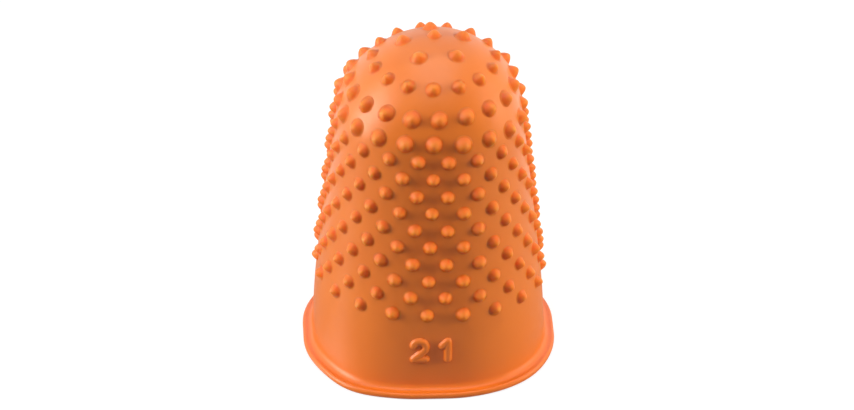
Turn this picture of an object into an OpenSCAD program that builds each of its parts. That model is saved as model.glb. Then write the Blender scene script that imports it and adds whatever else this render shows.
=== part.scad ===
/* [Body] */
// Width of the wall across opposite sides, at the open end
base_w = 23.4; // [21:0.1:26]
// Width of the flat strip down the middle of each side
flat_w = 2.6; // [2:0.1:4]
// Height of the wall from the open end to the top of the dome, without its nub
body_h = 32.7; // [30:0.1:36]
// Thickness of the rubber wall
wall_t = 1.1; // [0.8:0.1:1.5]
// Lean of the sides towards the tip, in degrees
taper = 6.35; // [5.5:0.05:7]
// Radius of the dome
nose_r = 6.5; // [6:0.1:7]
// Slope at which the shoulder runs into the dome, in degrees from upright
join_angle = 56.6; // [50:0.2:64]

/* [Rim] */
// How far the lip stands out from the wall
lip_out = 0.55; // [0.5:0.05:0.8]
// Thickness of the lip
lip_t = 1; // [0.8:0.1:1.4]
// Radius of the lip's outer edges
lip_edge_r = 0.3; // [0.1:0.05:0.35]
// Radius of the hollow corner between the lip and the wall
lip_hollow_r = 0.3; // [0.15:0.05:0.35]
// Height of the rim, with the hollow corner in it
rim_h = 2.4; // [2:0.1:4]

/* [Nubs] */
// Diameter of a nub at its foot
nub_d = 1.4; // [1.25:0.05:1.55]
// Diameter of the nubs in the top turn and in the low crown ring, at the foot
big_nub_d = 1.6; // [1.25:0.05:1.75]
// Height of a nub above the wall
nub_h = 0.65; // [0.5:0.05:0.9]
// Radius of the rounded tip of a nub
nub_tip_r = 0.35; // [0.2:0.05:0.4]
// Nubs in one turn of the spiral
nubs_per_turn = 20.52; // [18.52:1:20.52]
// Turns of the spiral
spiral_turns = 10.9; // [10.2:0.1:10.9]
// Height of the lowest nub
spiral_z = 7.8; // [7:0.1:8.2]
// Slope of the wall at the end of the spiral, in degrees from upright
spiral_top_angle = 20.4; // [19:0.2:20.4]
// Place of the lowest nub round the wall, in degrees from the front
spiral_start_angle = 172.4; // [0:0.2:360]

/* [Crown] */
// Nubs in the low crown ring
crown_low_n = 19; // [12:1:20]
// Slope of the dome at the low crown ring, in degrees from upright
crown_low_angle = 31.5; // [31:0.5:34]
// Place of one nub of the low crown ring, in degrees from the front
crown_low_start_angle = 4; // [0:0.2:360]
// Nubs in the middle crown ring
crown_mid_n = 15; // [8:1:16]
// Slope of the dome at the middle crown ring, in degrees from upright
crown_mid_angle = 51; // [49:0.5:54]
// Place of one nub of the middle crown ring, in degrees from the front
crown_mid_start_angle = 0.6; // [0:0.2:360]
// Nubs in the high crown ring
crown_high_n = 5; // [3:1:7]
// Slope of the dome at the high crown ring, in degrees from upright
crown_high_angle = 76; // [72:0.5:78]
// Place of one nub of the high crown ring, in degrees from the front
crown_high_start_angle = 333; // [0:0.2:360]

/* [Hidden] */
$fn = 48;
rubber = "darkorange";
// Every level of the wall is a square of this half side, rounded outwards by a radius that
// falls with height. The profile below gives that radius.
core = flat_w / 2;
foot_r = base_w / 2 - core;
nose_z = body_h - nose_r;
// Radius that lets the shoulder touch both the sides and the dome without a kink
turn_cos = cos(join_angle - taper);
shoulder_r = (foot_r * cos(taper) - nose_z * sin(taper) - nose_r * turn_cos) / (1 - turn_cos);
shoulder_x = (nose_r - shoulder_r) * cos(join_angle);
shoulder_z = nose_z + (nose_r - shoulder_r) * sin(join_angle);
// Height at which the straight sides end
side_top = shoulder_z + shoulder_r * sin(taper);
far = 2 * body_h;

// Radius of the profile and its slope at a height on the sides or the shoulder
function slope_at(z) = z < side_top ? taper : asin((z - shoulder_z) / shoulder_r);
function radius_at(z) = z < side_top
    ? foot_r - z * tan(taper)
    : shoulder_x + shoulder_r * cos(slope_at(z));
// Radius of the profile and its height at a slope on the shoulder or the dome
function crown_r(slope) = slope < join_angle
    ? shoulder_x + shoulder_r * cos(slope)
    : nose_r * cos(slope);
function crown_z(slope) = slope < join_angle
    ? shoulder_z + shoulder_r * sin(slope)
    : nose_z + nose_r * sin(slope);

// Rise of the spiral in one turn, and the nubs in it
spiral_lead = (crown_z(spiral_top_angle) - spiral_z) / spiral_turns;
spiral_nubs = floor(spiral_turns * nubs_per_turn);

// Half profile of the body, set in from the outer face by the given depth. Of the shoulder and
// the dome, the one with the smaller radius runs on past the join, inside the other.
module half_profile(depth) {
    side_z = shoulder_z + (shoulder_r - depth) * sin(taper);
    join_z = shoulder_z + (shoulder_r - depth) * sin(join_angle);
    polygon([
        [0, 0],
        [foot_r - depth / cos(taper), 0],
        [shoulder_x + (shoulder_r - depth) * cos(taper), side_z],
        [0, side_z]
    ]);
    intersection() {
        translate([shoulder_x, shoulder_z]) circle(shoulder_r - depth);
        square([far, shoulder_r > nose_r ? join_z : far]);
    }
    intersection() {
        translate([0, nose_z]) circle(nose_r - depth);
        translate([0, shoulder_r > nose_r ? nose_z : join_z]) square([far, far]);
    }
}

// Profile of the wall between two heights
module wall_profile(low, high) {
    intersection() {
        difference() {
            half_profile(0);
            half_profile(wall_t);
        }
        translate([0, low]) square([far, high - low]);
    }
}

// Carries a profile round the square core
module around() {
    for (side = [0:3]) {
        rotate(90 * side) {
            translate([core, core, 0]) rotate_extrude(angle = 90) children();
            translate([core, core, 0]) rotate([90, 0, 0]) linear_extrude(flat_w) children();
        }
    }
}

module lip_profile() {
    inner = foot_r - wall_t / cos(taper);
    outer = foot_r + lip_out;
    hollow_z = lip_t + lip_hollow_r;
    hollow_x = foot_r - hollow_z * tan(taper) + lip_hollow_r / cos(taper);
    difference() {
        union() {
            translate([inner, 0]) square([outer - lip_edge_r - inner, lip_t]);
            translate([inner, lip_edge_r]) square([outer - inner, lip_t - 2 * lip_edge_r]);
            translate([outer - lip_edge_r, lip_edge_r]) circle(lip_edge_r);
            translate([outer - lip_edge_r, lip_t - lip_edge_r]) circle(lip_edge_r);
        }
        half_profile(wall_t);
    }
    difference() {
        polygon([
            [foot_r - wall_t / 2, lip_t / 2],
            [hollow_x, lip_t / 2],
            [hollow_x, hollow_z],
            [hollow_x - lip_hollow_r * cos(taper), hollow_z - lip_hollow_r * sin(taper)],
            [foot_r - wall_t / 2, hollow_z - lip_hollow_r * sin(taper)]
        ]);
        translate([hollow_x, hollow_z]) circle(lip_hollow_r);
    }
}

module rim_bead() {
    color(rubber) around() {
        wall_profile(0, rim_h);
        lip_profile();
    }
}

module finger_sleeve() {
    color(rubber) around() wall_profile(rim_h, side_top);
}

module tip_dome() {
    color(rubber) {
        around() wall_profile(side_top, far);
        translate([-core, -core, body_h - wall_t]) cube([flat_w, flat_w, wall_t]);
    }
}

// One nub standing on the origin: a cone that runs into a ball at its tip
module nub(d) {
    ball_z = nub_h - nub_tip_r;
    reach = sqrt(pow(d / 2, 2) + pow(ball_z, 2));
    turn = acos(nub_tip_r / reach) - atan2(ball_z, d / 2);
    edge_z = ball_z + nub_tip_r * sin(turn);
    rotate_extrude() {
        polygon([
            [0, 0],
            [d / 2, 0],
            [nub_tip_r * cos(turn), edge_z],
            [0, edge_z]
        ]);
        intersection() {
            translate([0, ball_z]) circle(nub_tip_r);
            translate([0, edge_z]) square([d, d]);
        }
    }
}

// Puts a nub on the wall: turn is the way round from the front, measured along the wall
module place(turn, r, z, slope) {
    quarter = turn * 4;
    side = floor(quarter + 0.5);
    along = (quarter - side) * (flat_w + PI * r / 2);
    bend = sign(along) * max(0, abs(along) - core) / r * 180 / PI;
    strip = max(-core, min(core, along));
    rotate(90 * side)
        translate([strip + r * sin(bend), -core - r * cos(bend), z])
            rotate(bend) rotate([90 - slope, 0, 0]) children();
}

module spiral_turn(turn, d) {
    first = ceil(turn * nubs_per_turn);
    last = min(ceil((turn + 1) * nubs_per_turn), spiral_nubs) - 1;
    color(rubber) for (i = [first:1:last]) {
        z = spiral_z + i * spiral_lead / nubs_per_turn;
        way = spiral_start_angle / 360 - i / nubs_per_turn;
        place(way, radius_at(z), z, slope_at(z)) nub(d);
    }
}

module crown_ring(count, start_angle, slope, d) {
    color(rubber) for (i = [0:count - 1]) {
        way = start_angle / 360 + i / count;
        place(way, crown_r(slope), crown_z(slope), slope) nub(d);
    }
}

module nub_turn_01() { spiral_turn(0, nub_d); }
module nub_turn_02() { spiral_turn(1, nub_d); }
module nub_turn_03() { spiral_turn(2, nub_d); }
module nub_turn_04() { spiral_turn(3, nub_d); }
module nub_turn_05() { spiral_turn(4, nub_d); }
module nub_turn_06() { spiral_turn(5, nub_d); }
module nub_turn_07() { spiral_turn(6, nub_d); }
module nub_turn_08() { spiral_turn(7, nub_d); }
module nub_turn_09() { spiral_turn(8, nub_d); }
module nub_turn_10() { spiral_turn(9, nub_d); }
module nub_turn_11() { spiral_turn(10, big_nub_d); }
module crown_nubs_low() {
    crown_ring(crown_low_n, crown_low_start_angle, crown_low_angle, big_nub_d);
}
module crown_nubs_mid() {
    crown_ring(crown_mid_n, crown_mid_start_angle, crown_mid_angle, nub_d);
}
module crown_nubs_high() {
    crown_ring(crown_high_n, crown_high_start_angle, crown_high_angle, nub_d);
}

module apex_nub() {
    color(rubber) translate([0, 0, body_h]) nub(nub_d);
}

rim_bead();
finger_sleeve();
tip_dome();
nub_turn_01();
nub_turn_02();
nub_turn_03();
nub_turn_04();
nub_turn_05();
nub_turn_06();
nub_turn_07();
nub_turn_08();
nub_turn_09();
nub_turn_10();
nub_turn_11();
crown_nubs_low();
crown_nubs_mid();
crown_nubs_high();
apex_nub();
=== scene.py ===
import math
import random

import bpy
import numpy as np
from mathutils import Matrix, Vector


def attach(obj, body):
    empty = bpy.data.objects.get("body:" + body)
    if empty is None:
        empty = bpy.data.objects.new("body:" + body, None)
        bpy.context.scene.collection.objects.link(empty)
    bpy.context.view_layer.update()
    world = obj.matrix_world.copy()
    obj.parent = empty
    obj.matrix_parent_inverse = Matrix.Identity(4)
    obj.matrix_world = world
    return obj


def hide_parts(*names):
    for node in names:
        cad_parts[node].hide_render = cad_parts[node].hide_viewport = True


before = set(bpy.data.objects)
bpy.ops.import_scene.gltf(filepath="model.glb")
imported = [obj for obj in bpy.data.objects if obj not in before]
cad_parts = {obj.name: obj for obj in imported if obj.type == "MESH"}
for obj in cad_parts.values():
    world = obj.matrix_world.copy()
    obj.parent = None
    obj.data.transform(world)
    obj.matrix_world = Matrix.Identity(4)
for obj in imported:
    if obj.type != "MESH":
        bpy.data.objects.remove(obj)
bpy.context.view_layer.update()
chance = random.Random(11)

# Sizes of the moulding in millimetres
MM = 0.001
HALF_WIDTH, HALF_FLAT, WALL = 11.8, 1.3, 1.1

# The taper of the wall, and the height below which it turns upright
TAPER, FOOT_Z = math.radians(6.35), 9.0
FOOT_WIDTH = HALF_WIDTH - FOOT_Z / 2 * math.tan(TAPER)

# The round of the dome, and the slope at which its plan has lost the flats
DOME_R, DOME_X, DOME_Z = 8.73, 0.303, 24.3
ROUND_AT = math.radians(51.5)

# The lip round the mouth
LIP_OUT, LIP_TOP = 1.02, 0.64
LIP_EDGE, LIP_FOOT, LIP_HOLLOW = 0.26, 0.3, 0.62
LIP_SOLE, MOUTH_EDGE = 0.45, 0.25

# How far the tip leans to the right, and how the mouth is drawn out: angle, spread and share
LEAN, LEAN_FROM, LEAN_TO = 0.45, 26.0, 32.5
MOUTH_FRONT, MOUTH_CORNERS = 0.013, ((-37, 14, 0.037), (45, 18, 0.017))

# Distances up the profile of the wall
SIDE_TOP = DOME_Z + DOME_R * math.sin(TAPER)
SIDE_RUN = SIDE_TOP / math.cos(TAPER)
APEX_RUN = SIDE_RUN + DOME_R * (math.pi / 2 - TAPER)
INSIDE_RUN = 0.5

# Steps of the shell's mesh, and the least sizes at its poles
SIDE_STEPS, DOME_STEPS, QUARTER_STEPS = 70, 60, 43
INNER_SIDE_STEPS, INNER_DOME_STEPS = 30, 40
LEAST_WIDTH, LEAST_ROUND = 0.1, 0.05


# The wall as a surface

def ease(t):
    t = np.clip(t, 0, 1)
    return t * t * (3 - 2 * t)


def profile_at(run):
    """Half width, height, slope and half flat of the outer wall, at a distance up its profile."""
    run = np.asarray(run, float)
    side = run < SIDE_RUN
    slope = np.where(side, TAPER, TAPER + (run - SIDE_RUN) / DOME_R)
    height = np.where(side, run * math.cos(TAPER), DOME_Z + DOME_R * np.sin(slope))
    foot = np.clip(FOOT_Z - height, 0, FOOT_Z)
    straight = HALF_WIDTH - (height + foot ** 2 / (2 * FOOT_Z)) * math.tan(TAPER)
    width = np.where(side, straight, DOME_X + DOME_R * np.cos(slope))
    slope = slope - TAPER * foot / FOOT_Z
    return width, height, slope, HALF_FLAT * (1 - ease((slope - TAPER) / (ROUND_AT - TAPER)))


def run_at_height(z):
    if z < SIDE_TOP:
        return z / math.cos(TAPER)
    return run_at_slope(math.asin((z - DOME_Z) / DOME_R))


def run_at_slope(slope):
    return SIDE_RUN + DOME_R * (slope - TAPER)


def around(way, width, flat):
    """Plan position and outward direction on a rounded square, way in turns from the front."""
    radius = np.maximum(width - flat, 1e-6)
    quarter = way * 4
    side = np.floor(quarter + 0.5)
    along = (quarter - side) * (2 * flat + math.pi * radius / 2)
    bend = np.sign(along) * np.maximum(0, np.abs(along) - flat) / radius
    strip = np.clip(along, -flat, flat)
    x, y = strip + radius * np.sin(bend), -flat - radius * np.cos(bend)
    out_x, out_y = np.sin(bend), -np.cos(bend)
    c, s = np.cos(side * math.pi / 2), np.sin(side * math.pi / 2)
    return x * c - y * s, x * s + y * c, out_x * c - out_y * s, out_x * s + out_y * c


def girth(run):
    """Length once round the wall."""
    width, _, _, flat = profile_at(run)
    return 8 * flat + 2 * math.pi * (width - flat)


def wall_point(way, run):
    """Points on the outer wall and its outward normals there."""
    width, height, slope, flat = profile_at(run)
    x, y, ox, oy = around(np.asarray(way, float), width, flat)
    point = np.stack([x, y, height + 0 * x], -1)
    normal = np.stack([ox * np.cos(slope), oy * np.cos(slope), np.sin(slope) + 0 * x], -1)
    return point, normal


# Meshes

def settle(points):
    """The soft moulding as it stands: its tip leans, and its mouth is drawn out at the front corners."""
    points[:, 0] += LEAN * ease((points[:, 2] - LEAN_FROM) / (LEAN_TO - LEAN_FROM))
    way = np.arctan2(points[:, 0], -points[:, 1])
    drawn = MOUTH_FRONT * np.maximum(np.cos(way), 0) ** 2
    for corner, spread, share in MOUTH_CORNERS:
        drawn += share * np.exp(-((np.degrees(way) - corner) / spread) ** 2)
    drawn *= np.clip(1 - points[:, 2] / FOOT_Z, 0, 1) ** 2
    points[:, :2] *= 1 + drawn[:, None]
    return points


def make_piece(name, points, faces, material, tips=None):
    """A smooth rubber piece from points in millimetres; tips says how far up a nub each point is."""
    mesh = bpy.data.meshes.new(name)
    points = settle(np.array(points))
    mesh.from_pydata((points * MM).tolist(), [], faces)
    mesh.polygons.foreach_set("use_smooth", [True] * len(mesh.polygons))
    if tips is not None:
        mesh.attributes.new("tip", "FLOAT", "POINT").data.foreach_set("value", tips)
    mesh.update()
    piece = bpy.data.objects.new(name, mesh)
    bpy.context.collection.objects.link(piece)
    mesh.materials.append(material)
    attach(piece, "root")
    return piece


def bands(first, rings, sides):
    """Faces between rings of points that climb from the first one."""
    faces = []
    for low in range(first, first + (rings - 1) * sides, sides):
        for j in range(sides):
            k = (j + 1) % sides
            faces.append((low + j, low + k, low + sides + k, low + sides + j))
    return faces


def arc(cx, cz, radius, start, end, steps):
    """Profile points on an arc, angles in degrees from straight out."""
    angles = np.radians(np.linspace(start, end, steps))
    return [(cx + radius * math.cos(a), cz + radius * math.sin(a)) for a in angles]


# Shell

def shell_profile():
    """Half width, height and half flat down the outside, round the lip and up the inside."""
    outer, inner = FOOT_WIDTH + LIP_OUT, FOOT_WIDTH - WALL
    wall_foot = LIP_TOP + LIP_HOLLOW
    runs = np.concatenate([
        np.linspace(APEX_RUN, SIDE_RUN, DOME_STEPS),
        np.linspace(SIDE_RUN, wall_foot / math.cos(TAPER), SIDE_STEPS)[1:]])
    width, height, _, flat = profile_at(runs)
    outside = list(zip(width, height, np.minimum(flat, width)))
    lip = arc(width[-1] + LIP_HOLLOW, wall_foot, LIP_HOLLOW, 180, 270, steps=10)[1:]
    lip += arc(outer - LIP_EDGE, LIP_TOP - LIP_EDGE, LIP_EDGE, 90, 0, steps=12)
    lip += arc(outer - LIP_FOOT, LIP_FOOT, LIP_FOOT, 0, -90, steps=9)
    lip += [(outer - LIP_FOOT - LIP_SOLE, 0.0)]
    lip += arc(inner + MOUTH_EDGE, MOUTH_EDGE, MOUTH_EDGE, 270, 180, steps=7)
    runs = np.concatenate([
        np.linspace(INSIDE_RUN, SIDE_RUN, INNER_SIDE_STEPS),
        np.linspace(SIDE_RUN, APEX_RUN, INNER_DOME_STEPS)[1:]])
    width, height, slope, flat = profile_at(runs)
    hollow = np.maximum(width - WALL * np.cos(slope), LEAST_WIDTH)
    inside = list(zip(hollow, height - WALL * np.sin(slope), flat))
    return outside + [(x, z, HALF_FLAT) for x, z in lip] + inside


def rubber_shell(material):
    """Rim, wall and dome as the one seamless skin that a mould makes."""
    profile = shell_profile()
    quarter = np.linspace(-0.5, 0.5, QUARTER_STEPS + 1)[:-1]
    ways = np.concatenate([side + quarter for side in range(4)]) / 4
    points = []
    for width, z, flat in profile:
        x, y, _, _ = around(ways, width, min(flat, width - LEAST_ROUND))
        points += np.stack([x, y, 0 * x + z], -1).tolist()
    sides = len(ways)
    faces = [(a, d, c, b) for a, b, c, d in bands(0, len(profile), sides)]
    faces.append(tuple(range(sides)))
    last = (len(profile) - 1) * sides
    faces.append(tuple(last + j for j in reversed(range(sides))))
    return make_piece("rubber_shell", points, faces, material)


# Nubs

# Diameter and height of each kind
SMALL_NUB, BIG_NUB, WIDE_NUB = (1.36, 0.63), (1.62, 0.68), (1.62, 0.63)

# The section of a nub: shares of its foot and its height, and its mix of a dome and a bell
NUB_SKIRT, NUB_FOOT, FOOT_RISE = 1.17, 1.05, 0.01
NUB_STEPS = (0.03, 0.08, 0.15, 0.24, 0.35, 0.46, 0.58, 0.7, 0.8, 0.88, 0.94, 0.98, 0.995)
DOME_POWERS, NUB_BELL = (1.5, 0.58), 0.45
NUB_SIDES, NUB_ROOT, NUB_SINK = 28, 0.5, 0.006

# Where a skirt starts to follow the wall, the slope above which the wall is a ball, and a small step
HUG_FROM, BALL_SLOPE, WAY_STEP = 0.42, math.radians(60), 0.0005

# Unevenness of place and of size
STRAY, GROW = 0.04, (0.96, 1.04)

# The spiral up the wall
PER_TURN, TURNS = 20.52, 10.9
SPIRAL_START, SPIRAL_LOW, SPIRAL_TOP = 172.4 / 360, 7.8, 27.2
LAST_TURN = math.ceil(TURNS) - 1

# The rings on the dome: count, angle of the first nub, slope of the dome there, kind
CROWN_RINGS = {
    "crown_nubs_low": (19, 3.07, 30.3, BIG_NUB),
    "crown_nubs_mid": (15, -2.6, 49.8, SMALL_NUB),
    "crown_nubs_high": (5, -31.1, 71.4, WIDE_NUB),
}

# The top nub, a little behind the middle of the dome
APEX_SPOT = (0.5, APEX_RUN - 0.6)


def nub_section(foot_r, height):
    """Distance from the nub's axis and height above the wall, from its root to its tip."""
    skirt_r = foot_r * NUB_SKIRT
    section = [(skirt_r, -NUB_ROOT), (skirt_r, 0.0), (foot_r * NUB_FOOT, height * FOOT_RISE)]
    for t in NUB_STEPS:
        dome = (1 - t ** DOME_POWERS[0]) ** DOME_POWERS[1]
        bell = math.acos(math.sqrt(t)) * 2 / math.pi
        section.append((foot_r * (dome + (bell - dome) * NUB_BELL), height * t))
    return np.array(section)


def add_nub(points, faces, tips, way, run, diameter, height):
    """One peg with a rounded top, its skirt laid on the wall and its root inside it."""
    section = nub_section(diameter / 2, height)
    distance, rise = section[:, 0, None], section[:, 1, None]
    turn = np.linspace(0, 2 * math.pi, NUB_SIDES, endpoint=False)
    dx, dy = distance * np.cos(turn), distance * np.sin(turn)
    seat, normal = wall_point(way, run)
    across = wall_point(way + WAY_STEP, run)[0] - seat
    across -= normal * across.dot(normal)
    across /= np.linalg.norm(across)
    up = np.cross(normal, across)
    flat = seat + dx[..., None] * across + dy[..., None] * up
    if run > run_at_slope(BALL_SLOPE):
        on_wall = flat - normal * (distance ** 2 / (2 * DOME_R))[..., None]
    else:
        on_wall = wall_point(way + dx / girth(run + dy), run + dy)[0]
    start = diameter * HUG_FROM
    hug = np.clip((distance - start) / (distance[0] - start), 0, 1)[..., None]
    skin = flat * (1 - hug) + on_wall * hug + normal * (rise[..., None] - NUB_SINK)
    first, rings = len(points), len(section)
    points += skin.reshape(-1, 3).tolist()
    tips += np.repeat(np.clip(section[:, 1] / height, 0, 1), NUB_SIDES).tolist()
    faces.append(tuple(first + j for j in reversed(range(NUB_SIDES))))
    faces += bands(first, rings, NUB_SIDES)
    top = first + (rings - 1) * NUB_SIDES
    peak = len(points)
    points.append((seat + normal * (height - NUB_SINK)).tolist())
    tips.append(1.0)
    faces += [(top + j, top + (j + 1) % NUB_SIDES, peak) for j in range(NUB_SIDES)]


def nub_piece(node, spots, kind, material):
    """The nubs of one node, each a little off its place and size."""
    diameter, height = kind
    points, faces, tips = [], [], []
    for way, run in spots:
        way += chance.uniform(-STRAY, STRAY) / girth(run)
        run += chance.uniform(-STRAY, STRAY)
        wide = chance.uniform(*GROW)
        high = chance.uniform(*GROW)
        add_nub(points, faces, tips, way, run, diameter * wide, height * high)
    piece = make_piece(node + "_rubber", points, faces, material, tips)
    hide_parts(node)
    return piece


def spiral_spots(turn):
    """Places of the nubs of one turn, as ways round the wall and distances up it."""
    lead = (SPIRAL_TOP - SPIRAL_LOW) / TURNS
    last = min(math.ceil((turn + 1) * PER_TURN), math.floor(TURNS * PER_TURN))
    return [(SPIRAL_START - i / PER_TURN, run_at_height(SPIRAL_LOW + i * lead / PER_TURN))
            for i in range(math.ceil(turn * PER_TURN), last)]


def ring_spots(count, start_angle, slope):
    return [(start_angle / 360 + i / count, run_at_slope(math.radians(slope))) for i in range(count)]


# Size mark

MARK_Z, MARK_HIGH, MARK_WIDE, MARK_GAP = 4.9, 1.92, 1.2, 1.5
TWO_HEEL, ONE_STEM, ONE_FLAG, FLAG_DROP = 0.04, 0.62, 0.1, 0.5

# The bead: half width, height and grid, how it meets the wall, and how far its slab goes out in half widths
BEAD_R, BEAD_H, BEAD_STEP = 0.36, 0.3, 0.05
BEAD_SEAT, BEAD_DIP, BEAD_ROOT = 0.03, 0.3, 0.35
BEAD_REACH, BEAD_MARGIN = 1.35, 1.6


def figure_two():
    """Middle line of the 2: the bow, the slant to its heel and the base."""
    bend = MARK_WIDE / 2
    bow = arc(bend, MARK_HIGH - bend, bend, 165, -38, steps=24)
    return bow + [(TWO_HEEL, 0.0), (MARK_WIDE, 0.0)]


def figure_one():
    """Middle line of the 1: the flag and the stem."""
    return [(ONE_FLAG, MARK_HIGH - FLAG_DROP), (ONE_STEM, MARK_HIGH), (ONE_STEM, 0.0)]


def distance_to(path, u, v):
    """Distance of grid points from a path of straight steps."""
    path = np.array(path)
    nearest = np.full(u.shape, np.inf)
    for (ax, ay), (bx, by) in zip(path[:-1], path[1:]):
        span = (bx - ax) ** 2 + (by - ay) ** 2
        t = np.clip(((u - ax) * (bx - ax) + (v - ay) * (by - ay)) / span, 0, 1)
        nearest = np.minimum(nearest, np.hypot(u - ax - t * (bx - ax), v - ay - t * (by - ay)))
    return nearest


def add_slab(points, faces, top, root, wanted):
    """A closed slab over the wanted cells of a grid, from its top down to its root in the wall."""
    rows, columns = wanted.shape
    quads = [((i, j), (i, j + 1), (i + 1, j + 1), (i + 1, j))
             for i in range(rows - 1) for j in range(columns - 1) if wanted[i:i + 2, j:j + 2].any()]
    corners = sorted({corner for quad in quads for corner in quad})
    place = {corner: len(points) + n for n, corner in enumerate(corners)}
    points += [top[corner].tolist() for corner in corners]
    points += [root[corner].tolist() for corner in corners]
    deep = len(corners)
    tops = [tuple(place[corner] for corner in quad) for quad in quads]
    edges = {(face[n], face[(n + 1) % 4]) for face in tops for n in range(4)}
    faces += tops
    faces += [tuple(k + deep for k in reversed(face)) for face in tops]
    faces += [(b, a, a + deep, b + deep) for a, b in sorted(edges) if (b, a) not in edges]


def size_mark(material):
    """The inside width in plain raised figures, each a half round bead on the wall."""
    points, faces = [], []
    margin = BEAD_R * BEAD_MARGIN
    u, v = np.meshgrid(np.arange(-margin, MARK_WIDE + margin, BEAD_STEP),
                       np.arange(-margin, MARK_HIGH + margin, BEAD_STEP))
    run = run_at_height(MARK_Z) + v - MARK_HIGH / 2
    for figure, start in ((figure_two(), -MARK_WIDE - MARK_GAP / 2), (figure_one(), MARK_GAP / 2)):
        near = distance_to(figure, u, v) / BEAD_R
        bead = BEAD_H * np.sqrt(np.clip(1 - near ** 2, 0, 1))
        rise = BEAD_SEAT + np.where(near < 1, bead, BEAD_DIP * (1 - near))
        seat, normal = wall_point((u + start) / girth(run), run)
        top = seat + normal * rise[..., None]
        add_slab(points, faces, top, seat - normal * BEAD_ROOT, near < BEAD_REACH)
    return make_piece("size_mark", points, faces, material)


# Nodes

def put(tree, socket, value):
    """Links the value where it is another node's socket, and sets it otherwise."""
    if hasattr(value, "is_linked"):
        tree.links.new(value, socket)
    else:
        socket.default_value = value


def new_group(name, inputs, outputs):
    group = bpy.data.node_groups.new(name, "ShaderNodeTree")
    for label, kind, value in inputs:
        socket = group.interface.new_socket(label, in_out="INPUT", socket_type=kind)
        socket.default_value = value
    for label, kind in outputs:
        group.interface.new_socket(label, in_out="OUTPUT", socket_type=kind)
    return group, group.nodes.new("NodeGroupInput"), group.nodes.new("NodeGroupOutput")


def noise(tree, coords, scale, detail, roughness=0.5):
    node = tree.nodes.new("ShaderNodeTexNoise")
    given = {"Vector": coords, "Scale": scale, "Detail": detail, "Roughness": roughness}
    for label, value in given.items():
        put(tree, node.inputs[label], value)
    return node.outputs["Fac"]


def remap(tree, value, low, high, to_low, to_high):
    node = tree.nodes.new("ShaderNodeMapRange")
    put(tree, node.inputs["Value"], value)
    ends = {"From Min": low, "From Max": high, "To Min": to_low, "To Max": to_high}
    for label, end in ends.items():
        put(tree, node.inputs[label], end)
    return node.outputs["Result"]


def blend(tree, factor, first, second):
    """A mix of two colours."""
    node = tree.nodes.new("ShaderNodeMix")
    node.data_type = "RGBA"
    for place, value in ((0, factor), (6, first), (7, second)):
        put(tree, node.inputs[place], value)
    return node.outputs[2]


def maths(tree, operation, *values):
    """A Math node."""
    node = tree.nodes.new("ShaderNodeMath")
    node.operation = operation
    for socket, value in zip(node.inputs, values):
        put(tree, socket, value)
    return node.outputs[0]


def axes(tree, kind):
    """The X, Y and Z sockets of a texture coordinate."""
    split = tree.nodes.new("ShaderNodeSeparateXYZ")
    tree.links.new(tree.nodes.new("ShaderNodeTexCoord").outputs[kind], split.inputs[0])
    return split.outputs


# Finishes

# Scale, detail and roughness of each noise
CLOUDS, SMEARS, WAVES, GRAIN = (260, 3), (700, 4, 0.6), (420, 2), (5200, 2)
CLOUD_RANGE, SMEAR_RANGE, GRAIN_SHARE = (0.35, 0.68), (0.3, 0.7), 0.25
BUMP_STRENGTH, BUMP_DEPTH = 0.5, 0.00004

# From where up a nub, and how much, its tip is painted lighter as a painted highlight, and from where down
# the wall the mouth is painted a deeper orange as painted bounce light
TIP_LIGHT_SPAN, TIP_LIGHT_SHARE, MOUTH_BOUNCE_SPAN = (0.3, 0.85), 0.85, (0.0005, 0.0085)
GLOW_RADIUS, GLOW_SCALE = (0.45, 0.45, 0.45), 0.001


def moulded_rubber_group():
    """Cloudy colour, uneven gloss and fine grain of moulded rubber."""
    group, given, made = new_group(
        "moulded rubber",
        [("Colour", "NodeSocketColor", (0.86, 0.24, 0.04, 1)),
         ("Cloud colour", "NodeSocketColor", (0.8, 0.2, 0.03, 1)),
         ("Gloss low", "NodeSocketFloat", 0.4),
         ("Gloss high", "NodeSocketFloat", 0.55)],
        [("Colour", "NodeSocketColor"), ("Roughness", "NodeSocketFloat"), ("Height", "NodeSocketFloat")])
    place = group.nodes.new("ShaderNodeTexCoord").outputs["Object"]
    clouds = remap(group, noise(group, place, *CLOUDS), *CLOUD_RANGE, 0, 1)
    colour = blend(group, clouds, given.outputs["Colour"], given.outputs["Cloud colour"])
    gloss = given.outputs["Gloss low"], given.outputs["Gloss high"]
    roughness = remap(group, noise(group, place, *SMEARS), *SMEAR_RANGE, *gloss)
    waves = noise(group, place, *WAVES)
    height = maths(group, "MULTIPLY_ADD", noise(group, place, *GRAIN), GRAIN_SHARE, waves)
    for label, value in (("Colour", colour), ("Roughness", roughness), ("Height", height)):
        group.links.new(value, made.inputs[label])
    return group


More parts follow.
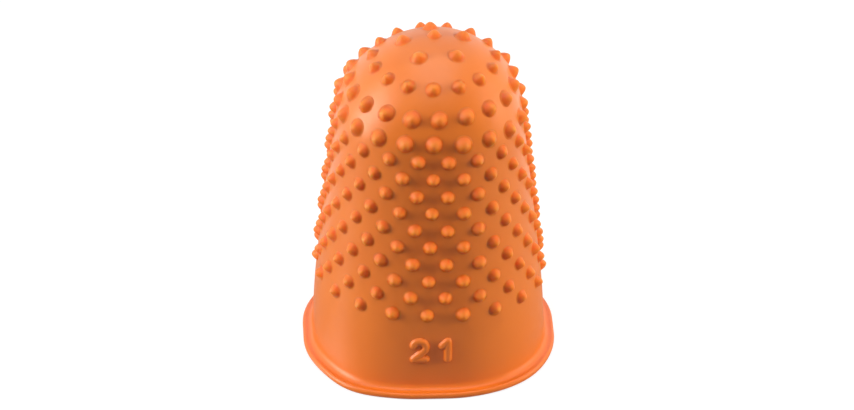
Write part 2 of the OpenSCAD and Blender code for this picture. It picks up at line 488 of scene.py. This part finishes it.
def rubber_material(name, group, colour, cloud, gloss, glow, shine, lit_tip_colour=None, mouth_bounce_colour=None):
    """Moulded rubber, with a painted highlight that lightens the nubs' tips, or painted bounce light that
    deepens the orange toward the mouth.
    """
    material = bpy.data.materials.new(name)
    material.use_nodes = True
    tree = material.node_tree
    shader = tree.nodes["Principled BSDF"]
    skin = tree.nodes.new("ShaderNodeGroup")
    skin.node_tree = group
    skin.inputs["Colour"].default_value = colour
    skin.inputs["Cloud colour"].default_value = cloud
    skin.inputs["Gloss low"].default_value, skin.inputs["Gloss high"].default_value = gloss
    paint = skin.outputs["Colour"]
    # Painted highlight: the nubs' tips are painted lighter, for the light their tops catch.
    if lit_tip_colour is not None:
        tip = tree.nodes.new("ShaderNodeAttribute")
        tip.attribute_name = "tip"
        paint = blend(tree, remap(tree, tip.outputs["Fac"], *TIP_LIGHT_SPAN, 0, TIP_LIGHT_SHARE), paint, lit_tip_colour)
    # Painted bounce light: a deeper, redder orange toward the mouth, for light bouncing in the lip's
    # hollow.
    if mouth_bounce_colour is not None:
        low = remap(tree, axes(tree, "Object")["Z"], *MOUTH_BOUNCE_SPAN, 1, 0)
        paint = blend(tree, low, paint, mouth_bounce_colour)
    tree.links.new(paint, shader.inputs["Base Color"])
    tree.links.new(skin.outputs["Roughness"], shader.inputs["Roughness"])
    ripple = tree.nodes.new("ShaderNodeBump")
    ripple.inputs["Strength"].default_value = BUMP_STRENGTH
    ripple.inputs["Distance"].default_value = BUMP_DEPTH
    tree.links.new(skin.outputs["Height"], ripple.inputs["Height"])
    tree.links.new(ripple.outputs["Normal"], shader.inputs["Normal"])
    shader.inputs["Specular IOR Level"].default_value = shine
    shader.inputs["Subsurface Weight"].default_value = glow
    shader.inputs["Subsurface Radius"].default_value = GLOW_RADIUS
    shader.inputs["Subsurface Scale"].default_value = GLOW_SCALE
    return material


rubber_skin = moulded_rubber_group()
# The wall rubber's mouth colour is painted bounce light in the lip's hollow.
wall_rubber = rubber_material(
    "wall rubber", rubber_skin, colour=(0.86, 0.184, 0.012, 1), cloud=(0.82, 0.168, 0.01, 1),
    gloss=(0.34, 0.41), glow=0, shine=0.65, mouth_bounce_colour=(0.87, 0.168, 0.01, 1))
# Painted light: the nubs' rubber is painted brighter and redder than the same rubber of the wall, for the
# light the nubs catch and the redder bounce in their shade.
lightened_nub_rubber = rubber_material(
    "nub rubber painted lighter", rubber_skin, colour=(0.98, 0.188, 0.013, 1), cloud=(0.96, 0.177, 0.011, 1),
    gloss=(0.48, 0.58), glow=1, shine=0.5, lit_tip_colour=(0.99, 0.246, 0.022, 1))


# Pieces

shell = rubber_shell(wall_rubber)
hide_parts("rim_bead", "finger_sleeve", "tip_dome")
for turn in range(LAST_TURN + 1):
    kind = BIG_NUB if turn == LAST_TURN else SMALL_NUB
    nub_piece("nub_turn_%02d" % (turn + 1), spiral_spots(turn), kind, lightened_nub_rubber)
for node, (count, start_angle, slope, kind) in CROWN_RINGS.items():
    nub_piece(node, ring_spots(count, start_angle, slope), kind, lightened_nub_rubber)
nub_piece("apex_nub", [APEX_SPOT], SMALL_NUB, lightened_nub_rubber)
size_mark(wall_rubber)


# Studio, in metres

FLOOR_HALF, FLOOR_DROP = 3, 0.00002

# The white card on the table: where it fades out, and its shade near and far
CARD_EDGE, CARD_SHADE = (0.025, 0.06), (0.42, 0.1)

# The floor as the camera sees it, and as the rubber's gloss does
FLOOR_GREY, FLOOR_SEEN, FLOOR_GLOSS = (0.3, 0.3, 0.3, 1), 0.8, 0.15

# In that gloss, a strip: slant, shift, half width, fade and strength, and where it ends on the left
LIT_STRIP, STRIP_END = (0.105, 0.0084, 0.003, 0.003, 1.0), (-0.012, -0.008)

# The gloss behind and at the sides: from where, to where, and its level there
LIT_BACK, LIT_SIDES = (0.016, 0.03, 0.7), (0.015, 0.06, 0.5)

# Light from all round, and what its gloss adds from front to back
AIR_LEVEL, AIR_GLOSS = 0.06, (-0.6, 0.0, 0.6, 1.3)

# Colours of the lamps, and the point that they face
COOL, WARM, LAMP_AIM = (0.88, 1.0, 1.0), (1.0, 0.92, 0.88), (0, 0, 0.016)

# Name, azimuth, elevation, distance, width, height, watts, colour, whether it lights and whether it shines
SOFT_BOXES = [
    ("top_box", 180, 84, 0.26, 0.2, 0.2, 0.215, COOL, True, True),
    ("front_top_box", 0, 66, 0.28, 0.16, 0.12, 0.19, WARM, True, False),
    ("left_box", -80, 16, 0.28, 0.06, 0.2, 0.8, COOL, True, False),
    ("right_box", 81, 14, 0.28, 0.06, 0.2, 0.81, COOL, True, False),
    ("left_card", -88, 22, 0.3, 0.16, 0.25, 0.65, COOL, False, True),
    ("right_card", 95, 22, 0.3, 0.12, 0.25, 0.14, COOL, False, True),
]


def card_shade(tree):
    """White near the object and grey further out, like a card on a table."""
    far = tree.nodes.new("ShaderNodeVectorMath")
    far.operation = "LENGTH"
    tree.links.new(tree.nodes.new("ShaderNodeTexCoord").outputs["Object"], far.inputs[0])
    return remap(tree, far.outputs["Value"], *CARD_EDGE, *CARD_SHADE)


def floor_gloss(tree):
    """The floor as the rubber's gloss shows it: a bright strip on the left, and light behind and aside."""
    x, y, _ = axes(tree, "Object")
    slant, shift, half, fade, strength = LIT_STRIP
    across = maths(tree, "ADD", maths(tree, "MULTIPLY_ADD", x, slant, y), shift)
    strip = remap(tree, maths(tree, "ABSOLUTE", across), half - fade, half + fade, strength, 0)
    left = remap(tree, x, *STRIP_END, 1, 0)
    start, end, level = LIT_BACK
    behind = remap(tree, y, start, end, FLOOR_GLOSS, level)
    start, end, level = LIT_SIDES
    aside = remap(tree, maths(tree, "ABSOLUTE", x), start, end, 0, level)
    return maths(tree, "ADD", maths(tree, "MULTIPLY_ADD", strip, left, behind), aside)


def seen_rays(tree):
    """1 for rays that show the backdrop itself: from the camera, in gloss and through glass."""
    path = tree.nodes.new("ShaderNodeLightPath")
    seen = path.outputs["Is Camera Ray"]
    for ray in ("Is Glossy Ray", "Is Transmission Ray"):
        seen = maths(tree, "MAXIMUM", seen, path.outputs[ray])
    return seen


def floor_material():
    """A matt card that takes the object's shadow, and a pale floor for rays that show the backdrop."""
    material = bpy.data.materials.new("studio floor")
    material.use_nodes = True
    tree = material.node_tree
    tree.nodes.clear()
    matt = tree.nodes.new("ShaderNodeBsdfDiffuse")
    tree.links.new(card_shade(tree), matt.inputs["Color"])
    grey = tree.nodes.new("ShaderNodeBsdfDiffuse")
    grey.inputs["Color"].default_value = FLOOR_GREY
    glow = tree.nodes.new("ShaderNodeEmission")
    in_gloss = tree.nodes.new("ShaderNodeLightPath").outputs["Is Glossy Ray"]
    tree.links.new(remap(tree, in_gloss, 0, 1, FLOOR_SEEN, floor_gloss(tree)), glow.inputs["Strength"])
    pale = tree.nodes.new("ShaderNodeAddShader")
    tree.links.new(grey.outputs[0], pale.inputs[0])
    tree.links.new(glow.outputs[0], pale.inputs[1])
    pick = tree.nodes.new("ShaderNodeMixShader")
    for socket, value in zip(pick.inputs, (seen_rays(tree), matt.outputs[0], pale.outputs[0])):
        tree.links.new(value, socket)
    out = tree.nodes.new("ShaderNodeOutputMaterial")
    tree.links.new(pick.outputs[0], out.inputs["Surface"])
    return material


def floor_sheet():
    mesh = bpy.data.meshes.new("studio_floor")
    corners = [(x * FLOOR_HALF, y * FLOOR_HALF, 0) for x, y in ((-1, -1), (1, -1), (1, 1), (-1, 1))]
    mesh.from_pydata(corners, [], [(0, 1, 2, 3)])
    mesh.materials.append(floor_material())
    floor = bpy.data.objects.new("studio_floor", mesh)
    floor.location.z = -FLOOR_DROP
    bpy.context.collection.objects.link(floor)


def studio_air():
    """White behind the object, dim as light on it, and in its gloss dark in front and bright behind."""
    world = bpy.data.worlds.new("studio")
    bpy.context.scene.world = world
    world.use_nodes = True
    tree = world.node_tree
    gloss = remap(tree, axes(tree, "Generated")["Y"], *AIR_GLOSS)
    path = tree.nodes.new("ShaderNodeLightPath")
    level = maths(tree, "MULTIPLY_ADD", path.outputs["Is Glossy Ray"], gloss, AIR_LEVEL)
    for ray in ("Is Camera Ray", "Is Transmission Ray"):
        level = maths(tree, "ADD", level, path.outputs[ray])
    back = tree.nodes["Background"]
    back.inputs["Color"].default_value = (1, 1, 1, 1)
    tree.links.new(level, back.inputs["Strength"])


def direction(azimuth, elevation):
    """From the object toward a lamp or the camera. Azimuth 0 is the front, 90 the right."""
    a, e = math.radians(azimuth), math.radians(elevation)
    return Vector((math.sin(a) * math.cos(e), -math.cos(a) * math.cos(e), math.sin(e)))


def soft_box(name, azimuth, elevation, distance, width, height, watts, colour, lights, shines):
    """A soft box aimed at the middle of the object."""
    lamp = bpy.data.lights.new(name, "AREA")
    lamp.shape = "RECTANGLE"
    lamp.size, lamp.size_y = width, height
    lamp.energy = watts
    lamp.color = colour
    box = bpy.data.objects.new(name, lamp)
    bpy.context.collection.objects.link(box)
    toward = direction(azimuth, elevation)
    box.location = Vector(LAMP_AIM) + toward * distance
    box.rotation_mode = "QUATERNION"
    box.rotation_quaternion = (-toward).to_track_quat("-Z", "Y")
    box.visible_camera = False
    box.visible_diffuse, box.visible_glossy = lights, shines


floor_sheet()
studio_air()
for box in SOFT_BOXES:
    soft_box(*box)


# Camera

# Where it stands and how it turns in degrees, its aim in millimetres, and its frame in pixels
VIEW_ELEVATION, VIEW_SWING, VIEW_ROLL = 31.25, -2.69, 0.3
VIEW_AIM, VIEW_DISTANCE, SENSOR = (0, 0, 15.0), 609.72, 36
FRAME_PIXELS, PIXELS_PER_MM, AIM_PIXELS = 854, 10.2754, (1.83, 4.13)


def photo_camera():
    """The photograph's own view: 31 degrees above the table, the object turned a little."""
    back = direction(VIEW_SWING, VIEW_ELEVATION)
    turn = (-back).to_track_quat("-Z", "Y")
    shift = Vector((*AIM_PIXELS, 0)) / PIXELS_PER_MM
    middle = Vector(VIEW_AIM) - turn @ shift
    data = bpy.data.cameras.new("photo_camera")
    data.sensor_fit = "HORIZONTAL"
    data.sensor_width = SENSOR
    data.lens = PIXELS_PER_MM * VIEW_DISTANCE * SENSOR / FRAME_PIXELS
    data.clip_start, data.clip_end = 0.01, 10
    camera = bpy.data.objects.new("photo_camera", data)
    bpy.context.collection.objects.link(camera)
    camera.location = (middle + back * VIEW_DISTANCE) * MM
    camera.rotation_mode = "QUATERNION"
    camera.rotation_quaternion = turn @ Matrix.Rotation(math.radians(VIEW_ROLL), 3, "Z").to_quaternion()
    bpy.context.scene.camera = camera


photo_camera()
bpy.context.scene.view_settings.view_transform = "Standard"
